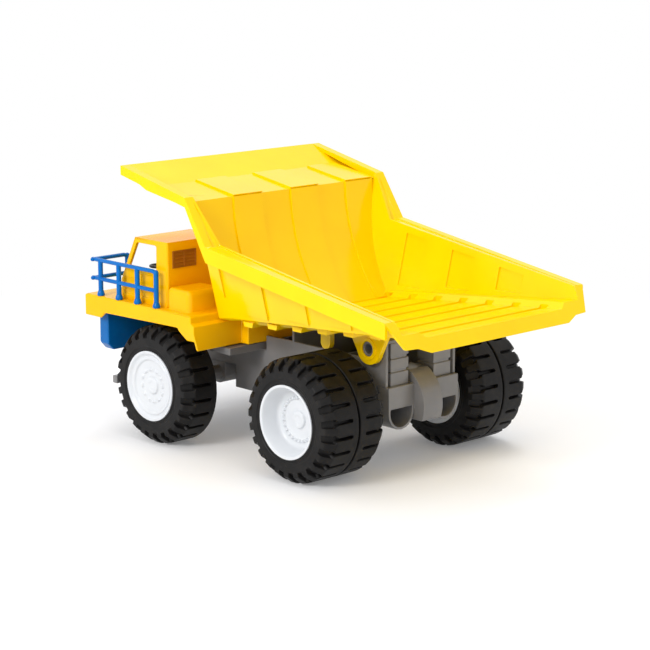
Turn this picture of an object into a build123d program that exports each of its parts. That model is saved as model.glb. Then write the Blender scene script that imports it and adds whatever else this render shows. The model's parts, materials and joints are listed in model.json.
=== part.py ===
from build123d import *
import math
import os

os.makedirs("parts", exist_ok=True)

# Toy mining dump truck. Millimetres, +X is the truck's left, -Y its front, +Z up.
# Heights are above the floor. Y stations are from the rear axle until save() sets them in the part's frame, whose
# origin is midway along the truck.

# ---- overall ----
wheelbase = 138.8
front_overhang = 76.0  # front axle to the deck's front edge
rear_overhang = 100.5  # rear axle to the tip of the bed's apron
front_axle_y = -wheelbase
rear_axle_shift = (wheelbase + front_overhang - rear_overhang) / 2

past = 1.0  # how far a cutter runs past the face that it opens
sink = 1.0  # how far a fused piece runs into what carries it

# ---- wheels and axles ----
tyre_radius = 41.5
tyre_width = 26.4
tyre_bore = 24.6
shoulder_run = 6.5  # width of the sloping shoulder
shoulder_drop = 5.0
tread_depth = 3.0
lug_count = 24
slot_width = 2.0
slot_rest = 5.5  # solid strip between the slots and the tyre's inner side
notch_width = 4.6
edge_break = 1.0
bore_sides = 20
cover_sides = 36
lug_sides = 24
hub_sides = 12
beam_sides = 16
track_outer = 95.2  # outer side of the tyres
axle_radius = 2.0
running_gap = 0.05
seat_gap = 0.05
end_gap = 0.6
rim_wall = 1.8
rim_lip = 0.5
lip_width = 1.6
dish_slope = 3.0
hub_radius = 5.0
hub_rise = 2.0
bore_floor = 0.5
front_dish = 3.0
rear_dish = 12.0

# ---- bed ----
bed_wall = 2.0
bed_front_y = -97.6
cheek_high_z = 138.0  # top of the walls' front ends beside the wedge
floor_front_y = -70.0
floor_front_z = 93.2
floor_slope = 0.088  # rise per unit of length towards the tail
kerb_half = 67.6  # at the floor's front
kerb_spread = 0.0095  # outward run per unit of length
kerb_run = 4.7
kerb_rise = 3.8
wall_half = 67.3  # at the floor's front
wall_lean = 0.254  # outward run per unit of height
wall_spread = 0.0686  # outward run per unit of length towards the tail
front_wall_mid_y = -94.5
front_wall_mid_z = 133.0
crease_y = -102.5
crease_z = 173.0
canopy_bend_y = -141.0
canopy_bend_z = 179.5
canopy_tip_y = -168.7
canopy_tip_z = 191.9
canopy_half = 87.0  # inner faces of the canopy's side rails
rim_crease_y = -100.5
rim_crease_z = 176.6
post_foot_y = -80.0
post_foot_z = 145.8
rim_tail_y = 88.0
rim_tail_z = 119.5
flange_inner_half = 73.0
flange_half = 93.8
flange_step = 0.8
flange_step_width = 6.0
skirt_drop = 10.5
canopy_skirt_drop = 6.5
canopy_rail_drop = 6.0  # depth of the canopy's side rails at its crease
canopy_rail_end = 4.0  # their run behind the crease
rail_fade = 0.5  # their depth behind that
tail_lean = 0.64  # tail plane's run towards the front per unit of height
apron_low_z = 99.1
apron_low_half = 65.4
apron_ledge_half = 75.0
apron_ledge_z = 102.7
apron_end_half = 85.3
apron_end_z = 103.1
apron_run = 10.0  # from the rim's tail back to where the apron's outline starts
# bands pressed outwards in the side walls: front and rear ends
bands = [(bed_front_y, -86.0), (-62.0, -42.0), (-19.0, 1.5), (24.0, 45.0)]
band_depth = 1.4
band_foot = 2.0  # above the kerb
band_head = 5.0  # under the rim
rib_count = 7
rib_pitch = 24.0
rib_front_y = -66.0
rib_width = 8.0
rib_depth = 1.4
rib_side = 1.0  # run of a rib's sloping side
rib_margin = 1.0  # kerb to the rib's end
panel_rise = 1.3
panel_count = 6
panel_width = 26.5
panel_offset = -3.5

# ---- bed pivot ----
pivot_y = 17.0
pivot_z = 84.0
pivot_radius = 5.0
pivot_bore = 3.2
pivot_gap = 0.08
lug_radius = 10.5
lug_wall = 4.0
lug_side_gap = 0.6
boss_radius = 7.2
boss_rise = 0.8
hook_y = -23.5
hook_radius = 4.5
hook_z = 82.0
web_run = 1.9  # half lengths of the lug's web at the floor and at the boss, in lug radii
web_waist = 0.95
web_drop = 0.3
web_rise = 0.2  # the webs' tops run this far into the floor's underside

# ---- deck and front shell ----
shell_wall = 2.0
deck_half = 92.0
deck_front_y = front_axle_y - front_overhang
deck_rear_y = -98.2
deck_z = 96.0
deck_edge = 1.6  # rounding
skirt_front_z = 80.5
skirt_arch_z = 84.6
arch_start_y = -197.0
arch_end_y = -113.0
arch_ramp = 5.0  # run of the arch's front slope
arch_rise = 1.5  # rise of its top towards the rear
fender_z = 71.8
fender_rear_y = -95.0
fender_foot_y = -97.0
fender_draft = 4.0
bed_shelf_z = 90.4  # deck's rear steps back under the bed's front edge here
shelf_drop = 1.0
bulge_half = 49.0
bulge_rear_y = -88.0
step_inset = 6.0
step_width = 31.0
step_front_y = -131.0
step_rear_y = -106.5
step_z = 111.0
step_round = 4.0
step_top_round = 1.0  # corner radius left at the top face
round_steps = 3  # flats in each rounded corner

# ---- cab ----
cab_wall = 2.0
cab_inset = 8.0
cab_width = 50.0
cab_front_y = -183.0
cab_rear_y = -131.5
cab_z = 141.3
cab_edge = 1.5
# sunk panels in the cab's side: front, rear, foot and head
side_panels = [(-179.0, -163.5, 100.0, 112.0), (-160.5, -145.5, 100.0, 116.0)]
screen_foot_z = 109.0
screen_sill = 3.5
screen_top_y = -167.0
window_low_z = 120.3
window_high_z = 137.6
window_rear_y = -144.0
pillar = 3.8
screen_reach = 3.0  # the windscreen's cutter, in front of the glass line
panel_sink = 0.8
louvre_width = 21.0
louvre_height = 12.0
louvre_inset = 4.3
louvre_low_z = 123.0
louvre_rise = 0.9
louvre_frame = 1.0
louvre_back = 0.3
slat_count = 4
slat_lip = 0.2
slat_gap = 0.4
slat_sink = 0.5  # slats and centre bar into the frame
dash_z = 113.0
dash_rear_y = -168.0
seat_z = 111.0
seat_half = 10.0
seat_depth = 20.0
seat_back = 6.0
seat_back_rise = 8.0
wheel_y = -172.5
wheel_radius = 6.8
wheel_grip = 1.8
wheel_lift = 3.2
wheel_sides = 16

# ---- railing ----
rail_radius = 1.4
post_radius = 1.9
foot_radius = 2.6
foot_height = 3.5
rail_inset = 2.4  # deck edge to the railing's centre line
rail_sides = 6
rail_top_z = 121.3
rail_mid_z = 108.0
rail_front_y = -206.0
rail_rear_y = -137.0
side_bays = 3
side_post_setback = 7.0  # first side post behind the front run
gate_left = 60.0  # gap in the front run
gate_right = 33.0
right_front_bays = 4

# ---- bumper and step bar ----
bumper_half = 86.0
bumper_front_y = -206.0
bumper_rear_y = -196.5
bumper_low_z = 55.7
bumper_corner = 5.0
grille_half = 27.0
grille_low_z = 60.0
grille_depth = 2.5
grille_bars = 5
grille_bar_half = 1.0
grille_bar_sink = 0.5
lamp_x = 68.0
lamp_radius = 6.0
lamp_rise = 1.0
stay_width = 13.0
stay_low = 2.0  # above the foot of the chassis's nose
stay_high = 12.0
step_bar_y = -190.0
step_bar_z = 36.0
step_bar_depth = 5.0
step_bar_height = 5.5
step_arm_width = 6.0
step_arm_heel = 2.0

# ---- chassis ----
tub_half = 33.0
tub_wall = 2.2
tub_low_z = 34.0
tub_high_z = 66.0
tub_front_y = -178.0
tub_step_y = -120.0
nose_low_z = 50.0
tub_rear_y = -22.0
rail_low_z = 59.0
rail_high_z = 76.0
bridge_half = 64.0
deck_gap = 0.5
bridge_high_z = 71.0
bridge_front_y = -112.0
bridge_rear_y = -90.0
prop_y = -60.0
post_thickness = 8.0
cross_half = 1.0  # half thickness of the tub's cross ribs and of the bed's rest
rest_gap = 0.5  # between that rest and the bed
ear_reach = 12.0  # from the pivot to the front of the ear that holds it
beam_radius = 7.5
housing_rear_y = 31.8
housing_step_y = 12.0
window_top_z = 44.0
bracket_low_z = 29.5
bracket_wall = 1.8
block_inner = 9.0
foot_sides = 10
bridge_depth = 8.0  # of the bar between the two blocks
bridge_setback = 2.0
cover_radius = 25.9
cover_y = 14.8
cover_z = 43.6
cover_high_z = 67.0
strut_inner = 12.0
strut_gap = 2.3
strut_front_y = 14.0
strut_rear_y = 29.0
strut_high_z = 88.0
groove_height = 2.0
groove_depth = 0.9
groove_pitch = 9.0
groove_count = 2

# ---- worked out from the above ----
rim_radius = tyre_bore - seat_gap
strut_outer = tub_half - tub_wall - strut_gap
cab_left = deck_half - cab_inset
cab_right = cab_left - cab_width
step_left = deck_half - step_inset
step_right = step_left - step_width

# planes clear of the bed, where its cutters end
low_z = tub_low_z
high_z = canopy_tip_z + 10
ahead_y = canopy_tip_y
behind_y = rear_overhang + 10


def save(name, shape):
    """Writes one piece, moved from the rear axle's frame into the part's frame."""
    export_step(Pos(0, rear_axle_shift, 0) * shape, f"parts/{name}.step")


def block(x_low, x_high, y_low, y_high, z_low, z_high):
    """Box between six planes."""
    middle = Pos((x_low + x_high) / 2, (y_low + y_high) / 2, (z_low + z_high) / 2)
    return middle * Box(x_high - x_low, y_high - y_low, z_high - z_low)


def prism_x(face_line, x_low, x_high):
    """Prism of a closed line in the Y-Z plane between two X planes."""
    return extrude(Plane.YZ.offset(x_low) * make_face(face_line), amount=x_high - x_low)


def plate_yz(points, x_low, x_high):
    """Prism of a Y-Z outline between two X planes."""
    return prism_x(Polyline(*points, close=True), x_low, x_high)


def plate_xz(points, y_low, y_high):
    """Prism of an X-Z outline between two Y planes."""
    outline = make_face(Polyline(*points, close=True))
    return extrude(Plane.XZ.offset(-y_high) * outline, amount=y_high - y_low)


def skinned(outlines):
    """Solid with flat faces between matching outlines, closed by the first and the last."""
    faces = [make_face(Polyline(*outline, close=True)) for outline in (outlines[0], outlines[-1])]
    for near, far in zip(outlines, outlines[1:]):
        for index in range(len(near)):
            corners = (near[index - 1], near[index], far[index], far[index - 1])
            faces.append(make_face(Polyline(*corners, close=True)))
    return Part() + Solid(Shell([face.face() for face in faces]))


def ruled_y(section, y_low, y_high):
    """Flat-sided body between the outlines that section(y) gives at two stations."""
    return skinned([[(x, y, z) for x, z in section(y)] for y in (y_low, y_high)])


def rod_x(x_low, x_high, y, z, radius):
    """Cylinder along X."""
    return Pos((x_low + x_high) / 2, y, z) * Rot(0, 90, 0) * Cylinder(radius, x_high - x_low)


def both_sides(shape):
    """A left-hand shape with its mirror image."""
    return shape + mirror(shape, Plane.YZ)


def faceted(sides, stations):
    """Body about X through regular polygons, from (x, radius) stations; the radius is to the flats."""
    turns = [2 * math.pi * (index + 0.5) / sides for index in range(sides)]
    stretch = 1 / math.cos(math.pi / sides)
    outlines = []
    for x, radius in stations:
        corner = radius * stretch
        outlines.append([(x, corner * math.sin(turn), -corner * math.cos(turn)) for turn in turns])
    return skinned(outlines)


def bore_x(x_low, x_high, y, z, radius):
    """Polygonal bore along X whose flats are at the radius."""
    return Pos(0, y, z) * faceted(hub_sides, [(x_low, radius), (x_high, radius)])


def rounded_block(x_low, x_high, y_low, y_high, z_low, z_high, radius, top_radius):
    """Block with its upright and top edges rounded by flats; top_radius is what is left at the top face."""
    turns = [math.pi / 2 * step / round_steps for step in range(round_steps + 1)]
    centres = [
        (x_high - radius, y_high - radius),
        (x_low + radius, y_high - radius),
        (x_low + radius, y_low + radius),
        (x_high - radius, y_low + radius),
    ]
    levels = [(z_low, radius)]
    for turn in turns:
        corner = radius - (radius - top_radius) * (1 - math.cos(turn))
        levels.append((z_high - radius * (1 - math.sin(turn)), corner))
    outlines = []
    for z, corner in levels:
        outline = []
        for quarter, (x, y) in enumerate(centres):
            for turn in turns:
                angle = quarter * math.pi / 2 + turn
                outline.append((x + corner * math.cos(angle), y + corner * math.sin(angle), z))
        outlines.append(outline)
    return skinned(outlines)


# ---- wheels, drawn with the outer side at x = 0 and the truck's middle towards -X ----
def lug_ring(x, crown, gap_width, depth):
    """Tread outline at one station: flat-topped lugs parted by parallel-sided gaps; crown is to the flats."""
    pitch = 2 * math.pi / lug_count

    def lug_half(radius):
        return radius * math.tan(pitch / 2) - gap_width / 2 / math.cos(pitch / 2)

    floor = crown - depth
    foot = lug_half(floor)
    top = lug_half(crown)
    profile = [(-foot, floor), (-top, crown), (top, crown), (foot, floor)]
    corners = []
    for lug in range(lug_count):
        turn = lug * pitch
        for across, out in profile:
            y = across * math.cos(turn) + out * math.sin(turn)
            z = across * math.sin(turn) - out * math.cos(turn)
            corners.append((x, y, z))
    return corners


def tyre():
    side_crown = tyre_radius - shoulder_drop
    slot_end = slot_rest - tyre_width
    side_ring = lug_ring(0, side_crown, notch_width, tread_depth)
    shoulder_ring = lug_ring(-shoulder_run, tyre_radius, notch_width, tread_depth)
    slot_rings = [lug_ring(x, tyre_radius, slot_width, tread_depth) for x in (-shoulder_run, slot_end)]
    band_stations = [
        (slot_end, tyre_radius),
        (edge_break - tyre_width, tyre_radius),
        (-tyre_width, tyre_radius - edge_break),
    ]
    body = skinned([side_ring, shoulder_ring]) + skinned(slot_rings)
    body += faceted(lug_count, band_stations)
    return body - faceted(bore_sides, [(-tyre_width - past, tyre_bore), (past, tyre_bore)])


def rim(width, dish):
    """One-piece rim: barrel with a lip, sloping dish, web and a hub with a blind bore."""
    barrel = rim_radius - rim_wall
    web = barrel - dish_slope
    back = -width - rim_wall
    body = faceted(bore_sides, [(back, rim_radius), (rim_lip, rim_radius)])
    body += faceted(bore_sides, [(back, rim_radius + rim_wall), (-width - seat_gap, rim_radius + rim_wall)])
    body -= faceted(bore_sides, [(-dish, web), (-lip_width, barrel), (rim_lip + past, barrel)])
    body -= faceted(bore_sides, [(back - past, barrel), (-dish - 2 * rim_wall, web)])
    body += faceted(hub_sides, [(back, hub_radius), (hub_rise - dish, hub_radius)])
    return body - rod_x(back - past, -dish - bore_floor, 0, 0, axle_radius + running_gap)


def save_wheels():
    outer_tyre = tyre()
    inner_tyre = Pos(-2 * tyre_width, 0, 0) * mirror(outer_tyre, Plane.YZ)
    # axle's name, its Y, depth of the rim's dish, and its tyres
    axles = [
        ("front", front_axle_y, front_dish, {"tyre": outer_tyre}),
        ("rear", 0.0, rear_dish, {"outer_tyre": outer_tyre, "inner_tyre": inner_tyre}),
    ]
    for axle, y, dish, tyres in axles:
        pieces = {"rim": rim(len(tyres) * tyre_width, dish)} | tyres
        for name, piece in pieces.items():
            placed = Pos(track_outer, y, tyre_radius) * piece
            save(f"{axle}_left_{name}", placed)
            save(f"{axle}_right_{name}", mirror(placed, Plane.YZ))
        axle_end = track_outer - dish - bore_floor - end_gap
        save(f"{axle}_axle_pin", rod_x(-axle_end, axle_end, y, tyre_radius, axle_radius))


# ---- chassis ----
def chassis():
    side_outline = [
        (tub_front_y, nose_low_z),
        (tub_step_y, nose_low_z),
        (tub_step_y, tub_low_z),
        (tub_rear_y, tub_low_z),
        (tub_rear_y, tub_high_z),
        (tub_front_y, tub_high_z),
    ]
    inner_outline = [
        (tub_front_y + tub_wall, nose_low_z + tub_wall),
        (tub_step_y + tub_wall, nose_low_z + tub_wall),
        (tub_step_y + tub_wall, tub_low_z + tub_wall),
        (tub_rear_y - tub_wall, tub_low_z + tub_wall),
        (tub_rear_y - tub_wall, tub_high_z + past),
        (tub_front_y + tub_wall, tub_high_z + past),
    ]
    wall_x = tub_half - tub_wall
    body = plate_yz(side_outline, -tub_half, tub_half)
    body -= plate_yz(inner_outline, -wall_x, wall_x)
    body += block(-bridge_half, bridge_half, bridge_front_y, bridge_rear_y, tub_high_z, bridge_high_z)
    rail = block(wall_x, tub_half, bulge_rear_y + deck_gap, strut_rear_y, rail_low_z, rail_high_z)
    ear = block(wall_x, tub_half, pivot_y - ear_reach, strut_rear_y, rail_low_z, strut_high_z + tub_wall)
    stub_end = tub_half + lug_side_gap + lug_wall
    stub = rod_x(tub_half - sink, stub_end, pivot_y, pivot_z, pivot_radius)
    stub_bore = bore_x(wall_x - past, stub_end + past, pivot_y, pivot_z, pivot_bore)
    body += both_sides(rail + ear + stub - stub_bore)
    body += block(-tub_half, tub_half, strut_front_y, strut_rear_y, strut_high_z, strut_high_z + tub_wall)
    for y in (bridge_rear_y, prop_y, (prop_y + tub_rear_y) / 2):
        front = y - cross_half
        rear = y + cross_half
        body += block(-wall_x - sink, wall_x + sink, front, rear, tub_low_z + sink, tub_high_z)
    rest_z = floor_z(prop_y) - bed_wall - rib_depth - rest_gap
    body += block(-tub_half, tub_half, prop_y - cross_half, prop_y + cross_half, tub_high_z - sink, rest_z)
    post_inner = wall_x - post_thickness
    for y in (tub_front_y + post_thickness, tub_step_y):
        post = block(post_inner, wall_x, y - tub_wall, y, nose_low_z, deck_z - shell_wall)
        body += both_sides(post)
    return body


def front_axle_beam():
    reach = track_outer - tyre_width - rim_wall - end_gap
    body = faceted(beam_sides, [(-tub_half, beam_radius), (tub_half, beam_radius)])
    body += faceted(hub_sides, [(-reach, hub_radius), (reach, hub_radius)])
    body = Pos(0, front_axle_y, tyre_radius) * body
    body += block(
        -tub_half, tub_half, front_axle_y - beam_radius, front_axle_y + beam_radius, tyre_radius, nose_low_z
    )
    return body - bore_x(-track_outer, track_outer, front_axle_y, tyre_radius, axle_radius + seat_gap)


def bracket_outline(inset):
    """Upright block outline whose foot is a half round, drawn in X-Z."""
    radius = (tub_half - block_inner) / 2 - inset
    middle = (tub_half + block_inner) / 2
    foot_z = bracket_low_z + radius + inset
    top_z = rail_low_z - inset
    turns = [math.pi * step / foot_sides for step in range(foot_sides + 1)]
    foot = [(middle - radius * math.cos(turn), foot_z - radius * math.sin(turn)) for turn in turns]
    return [(middle + radius, top_z), (middle - radius, top_z)] + foot


def rear_axle_housing():
    reach = track_outer - 2 * tyre_width - rim_wall - end_gap
    body = Pos(0, 0, tyre_radius) * faceted(beam_sides, [(-reach, beam_radius), (reach, beam_radius)])
    body += block(-tub_half, tub_half, tub_rear_y, housing_step_y, tub_low_z, rail_low_z)
    bracket = plate_xz(bracket_outline(0), housing_step_y, housing_rear_y)
    bracket -= plate_xz(bracket_outline(bracket_wall), housing_step_y, housing_rear_y)
    face_y = housing_rear_y - bracket_wall
    bracket += block(block_inner, tub_half, face_y, housing_rear_y, window_top_z, rail_low_z)
    body += both_sides(bracket)
    front = housing_step_y - sink
    cover_ends = [(-block_inner, cover_radius), (block_inner, cover_radius)]
    cover = Pos(0, cover_y, cover_z) * faceted(cover_sides, cover_ends)
    body += cover & block(-block_inner, block_inner, front, rear_overhang, tub_low_z, cover_high_z)
    bridge_y = housing_rear_y - bridge_setback
    body += block(-block_inner, block_inner, front, bridge_y, rail_low_z - bridge_depth, rail_low_z)
    return body - bore_x(-track_outer, track_outer, 0, tyre_radius, axle_radius + seat_gap)


def strut():
    """Square strut with ring grooves."""
    body = block(strut_inner, strut_outer, strut_front_y, strut_rear_y, rail_low_z, strut_high_z)
    core = block(
        strut_inner + groove_depth,
        strut_outer - groove_depth,
        strut_front_y + groove_depth,
        strut_rear_y - groove_depth,
        rail_low_z,
        strut_high_z,
    )
    for index in range(groove_count):
        z = rail_low_z + (index + 1) * groove_pitch
        reach = (strut_front_y - past, strut_rear_y + past)
        body -= block(strut_inner - past, strut_outer + past, *reach, z, z + groove_height)
    return body + core


# ---- bed ----
def floor_z(y):
    return floor_front_z + floor_slope * (y - floor_front_y)


def wall_x(y, z):
    """Inner face of a side wall."""
    return wall_half + wall_spread * (y - floor_front_y) + wall_lean * (z - floor_front_z)


def tail_y(z):
    """Sloping plane that ends the bed."""
    return rear_overhang - tail_lean * (z - apron_low_z)


def between_walls(grow):
    """Space between the planes of the two side walls, moved outwards by grow."""
    out = grow * math.hypot(1, wall_lean)

    def section(y):
        low = wall_x(y, low_z) + out
        high = wall_x(y, high_z) + out
        return [(-low, low_z), (low, low_z), (high, high_z), (-high, high_z)]

    return ruled_y(section, ahead_y, behind_y)


def kerbs(drop):
    """Material outside the floor and under the ledges, with its top lowered by drop."""
    reach = 2 * deck_half

    def section(y):
        top = kerb_half + kerb_spread * (y - floor_front_y)
        foot = top - kerb_run + drop / 2
        floor = floor_z(y) - drop
        ledge = floor + kerb_rise
        return [(foot, low_z), (foot, floor), (top + drop / 2, ledge), (reach, ledge), (reach, low_z)]

    return both_sides(ruled_y(section, ahead_y, behind_y))


def front_curve(shift):
    """Curve of the front wall from its top to the floor, moved along Y."""
    top = (crease_y + shift, crease_z)
    middle = (front_wall_mid_y + shift, front_wall_mid_z)
    return ThreePointArc(top, middle, (floor_front_y + shift, floor_front_z))


def front_wall(shift, thickness, x_low, x_high):
    """Curved plate that follows the front wall."""
    near = front_curve(shift)
    far = front_curve(shift - thickness)
    ends = Line(near @ 0, far @ 0) + Line(near @ 1, far @ 1)
    return prism_x(near + far + ends, x_low, x_high)


def behind_front(shift):
    """Everything behind the front wall's curve and above the floor, both moved outwards by -shift."""
    curve = front_curve(shift)
    front_y = floor_front_y + shift
    rest = Polyline(
        curve @ 1,
        (front_y, low_z),
        (behind_y, low_z),
        (behind_y, high_z),
        (crease_y + shift, high_z),
        curve @ 0,
    )
    floor_line = [(y, floor_z(y) + shift) for y in (ahead_y, behind_y)]
    above_floor = plate_yz(floor_line + [(behind_y, high_z), (ahead_y, high_z)], -deck_half, deck_half)
    return prism_x(curve + rest, -deck_half, deck_half) & above_floor


def under_rim(lift):
    """Everything under the line of the bed's rim, moved up by lift."""
    points = [
        (ahead_y, canopy_tip_z + lift),
        (rim_crease_y, rim_crease_z + lift),
        (post_foot_y, post_foot_z + lift),
        (rim_tail_y, rim_tail_z + lift),
        (behind_y, rim_tail_z + lift),
        (behind_y, low_z),
        (ahead_y, low_z),
    ]
    return plate_yz(points, -2 * deck_half, 2 * deck_half)


def along_rim(drop, x_low, x_high, top=0.0):
    """Strip under the line of the bed's rim; drop is its depth at each of the rim's four points."""
    line = [
        (canopy_tip_y, canopy_tip_z),
        (rim_crease_y, rim_crease_z),
        (post_foot_y, post_foot_z),
        (rim_tail_y, rim_tail_z),
    ]
    upper = [(y, z - top) for y, z in line]
    lower = [(y, z - depth) for (y, z), depth in zip(line, drop)]
    return plate_yz(upper + lower[::-1], x_low, x_high)


def canopy():
    """Canopy panel with its sloping tip; alternate panels stand higher."""
    line = [(crease_y, crease_z), (canopy_bend_y, canopy_bend_z), (canopy_tip_y, canopy_tip_z)]
    under = [(y, z - bed_wall) for y, z in line[::-1]]
    return plate_yz(line + under, -flange_half, flange_half)


def raised_panels():
    """Alternate panels of the canopy and front wall, one panel_rise inside the rest."""
    start = panel_offset + panel_width * panel_count / 2
    shapes = []
    for index in range(1, panel_count, 2):
        left = start - index * panel_width
        right = max(left - panel_width, -canopy_half)
        top = [(crease_y, crease_z), (canopy_bend_y, canopy_bend_z)]
        raised = [(crease_y + panel_rise, crease_z + panel_rise), (canopy_bend_y, canopy_bend_z + panel_rise)]
        raised.append((canopy_bend_y - panel_rise, canopy_bend_z))
        pad = plate_yz([top[1], top[0]] + raised, right, left)
        pad += front_wall(panel_rise, panel_rise, right, left)
        shapes.append(pad)
    return shapes


def bed():
    core = between_walls(0)
    shell = between_walls(bed_wall)
    inner_space = behind_front(0) & core
    outer_space = behind_front(-bed_wall)
    cheek_outline = [
        (bed_front_y, floor_front_z - bed_wall),
        (floor_front_y, floor_front_z - bed_wall),
        (floor_front_y, cheek_high_z),
        (bed_front_y, cheek_high_z),
    ]
    cheeks = plate_yz(cheek_outline, -deck_half, deck_half) & (shell - core)
    body = (shell & outer_space) + cheeks
    inner_space -= kerbs(0)
    body -= kerbs(bed_wall)

    # bands pressed outwards in the side walls
    for front, rear in bands:
        low = floor_z(rear) + kerb_rise + band_foot
        slab = block(-deck_half, deck_half, front, rear, low, high_z)
        outer_slab = block(-deck_half, deck_half, front, rear + bed_wall, low - bed_wall, high_z)
        band = between_walls(bed_wall + band_depth) & outer_slab
        body += band & under_rim(bed_wall - band_head) & outer_space
        if front > floor_front_y:
            inner_space += between_walls(band_depth) & slab & under_rim(-band_head) & behind_front(0)

    # ribs pressed down across the floor
    for index in range(rib_count):
        y = rib_front_y + index * rib_pitch
        z = floor_z(y)
        half = rib_width / 2
        top_z = z + kerb_rise
        press_z = z - rib_depth
        press = [
            (y - half, top_z),
            (y - half + rib_side, press_z),
            (y + half - rib_side, press_z),
            (y + half, top_z),
        ]
        inner_space += plate_yz(press, rib_margin - kerb_half, kerb_half - rib_margin)
        under_z = press_z - bed_wall
        under = [(y - half - rib_side, z), (y - half, under_z), (y + half, under_z), (y + half + rib_side, z)]
        body += plate_yz(under, -kerb_half - rib_margin, kerb_half + rib_margin)

    # rim flange, side rails of the canopy, skirt
    body = body & under_rim(0)
    step_half = flange_half - flange_step_width
    flange = along_rim([bed_wall + flange_step] * 4, flange_inner_half, step_half, flange_step)
    flange += along_rim([bed_wall] * 4, step_half, flange_half)
    canopy_rail = along_rim(
        [bed_wall, canopy_rail_drop, rail_fade, rail_fade], canopy_half, canopy_half + bed_wall
    )
    flange += canopy_rail & block(0, deck_half, ahead_y - past, crease_y + canopy_rail_end, low_z, high_z)
    drops = [canopy_skirt_drop, canopy_skirt_drop, skirt_drop, skirt_drop]
    skirt = along_rim(drops, flange_half - bed_wall, flange_half)
    body += both_sides(flange + skirt)
    body += canopy()
    canopy_room = [
        (canopy_tip_y, canopy_tip_z),
        (canopy_bend_y, canopy_bend_z),
        (crease_y, crease_z),
        (crease_y, high_z),
        (canopy_tip_y, high_z),
    ]
    body -= plate_yz(canopy_room, -canopy_half, canopy_half)

    apron_outline = [
        (apron_low_half, apron_low_z),
        (apron_ledge_half, apron_ledge_z),
        (apron_end_half, apron_end_z),
        (flange_half, rim_tail_z),
    ]
    mirrored = [(-x, z) for x, z in apron_outline[::-1]]
    apron = plate_xz(apron_outline + mirrored, rim_tail_y - apron_run, behind_y)
    thickness = bed_wall * math.hypot(1, tail_lean)
    tail_zs = (apron_low_z - past, rim_tail_z + past)
    leaf = [(tail_y(z), z) for z in tail_zs] + [(tail_y(z) - thickness, z) for z in tail_zs[::-1]]
    body += apron & plate_yz(leaf, -flange_half - past, flange_half + past)
    body -= inner_space
    past_tail = [
        (tail_y(low_z), low_z),
        (tail_y(high_z), high_z),
        (2 * behind_y, high_z),
        (2 * behind_y, low_z),
    ]
    body -= plate_yz(past_tail, -2 * deck_half, 2 * deck_half)
    above_crease = block(
        -canopy_half, canopy_half, ahead_y, crease_y + canopy_rail_end, crease_z - canopy_rail_end, high_z
    )
    for pad in raised_panels():
        body += pad & (core + above_crease)
    return body + both_sides(lug())


def lug():
    """Pivot lug under the floor with a boss round its hole, and the smaller hook ahead of it."""
    inner = tub_half + lug_side_gap
    outer = inner + lug_wall
    web_sink = bed_wall - web_rise
    ends = (pivot_y - web_run * lug_radius, pivot_y + web_run * lug_radius)
    waist = web_waist * lug_radius
    waist_z = pivot_z - web_drop * lug_radius
    pivot = Pos(0, pivot_y, pivot_z)
    body = pivot * faceted(lug_sides, [(inner, lug_radius), (outer, lug_radius)])
    web = [
        (ends[0], floor_z(ends[0]) - web_sink),
        (pivot_y - waist, waist_z),
        (pivot_y + waist, waist_z),
        (ends[1], floor_z(ends[1]) - web_sink),
    ]
    body += plate_yz(web, inner, outer)
    body += pivot * faceted(bore_sides, [(outer - sink, boss_radius), (outer + boss_rise, boss_radius)])
    hook = Pos(0, hook_y, hook_z) * faceted(beam_sides, [(inner, hook_radius), (outer, hook_radius)])
    hook_top_z = floor_z(hook_y) - web_sink
    hook += block(inner, outer, hook_y - hook_radius, hook_y + hook_radius, hook_z, hook_top_z)
    bore = rod_x(inner - past, outer + boss_rise + past, pivot_y, pivot_z, pivot_radius + pivot_gap)
    return body + hook - bore


# ---- front shell ----
def deck_shell():
    inner = deck_half - shell_wall
    shelf_low_z = bed_shelf_z - shelf_drop
    outline = [
        (deck_front_y, skirt_front_z),
        (arch_start_y, skirt_front_z),
        (arch_start_y + arch_ramp, skirt_arch_z),
        (arch_end_y, skirt_arch_z + arch_rise),
        (fender_foot_y, fender_z),
        (fender_rear_y, fender_z),
        (fender_rear_y, shelf_low_z),
        (deck_rear_y, bed_shelf_z),
        (deck_rear_y, deck_z),
        (deck_front_y, deck_z),
    ]
    solid = plate_yz(outline, -deck_half, deck_half)
    solid = fillet(solid.edges().group_by(Axis.Z)[-1], deck_edge)
    solid += block(-bulge_half, bulge_half, arch_end_y, bulge_rear_y, fender_z, shelf_low_z)
    cut_z = fender_z - past
    room_high_z = shelf_low_z - shell_wall
    room = [
        (deck_front_y + shell_wall, cut_z),
        (deck_front_y + shell_wall, deck_z - shell_wall),
        (deck_rear_y - shell_wall, deck_z - shell_wall),
        (deck_rear_y - shell_wall, room_high_z),
        (fender_rear_y - shell_wall, room_high_z),
        (fender_rear_y - shell_wall, cut_z),
    ]
    solid -= plate_yz(room, -inner, inner)
    bulge_room = bulge_half - shell_wall
    solid -= block(-bulge_room, bulge_room, arch_end_y - past, bulge_rear_y - shell_wall, cut_z, room_high_z)
    draft = [
        (deck_half, skirt_arch_z),
        (deck_half + past, skirt_arch_z),
        (deck_half + past, cut_z),
        (deck_half - fender_draft, cut_z),
    ]
    solid -= both_sides(plate_xz(draft, arch_end_y - past, bulge_rear_y))
    step = rounded_block(
        step_right, step_left, step_front_y, step_rear_y, deck_z - sink, step_z, step_round, step_top_round
    )
    step_room = block(
        step_right + shell_wall,
        step_left - shell_wall,
        step_front_y + shell_wall,
        step_rear_y - shell_wall,
        deck_z - shell_wall - past,
        step_z - shell_wall,
    )
    return solid + step - step_room


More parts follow.
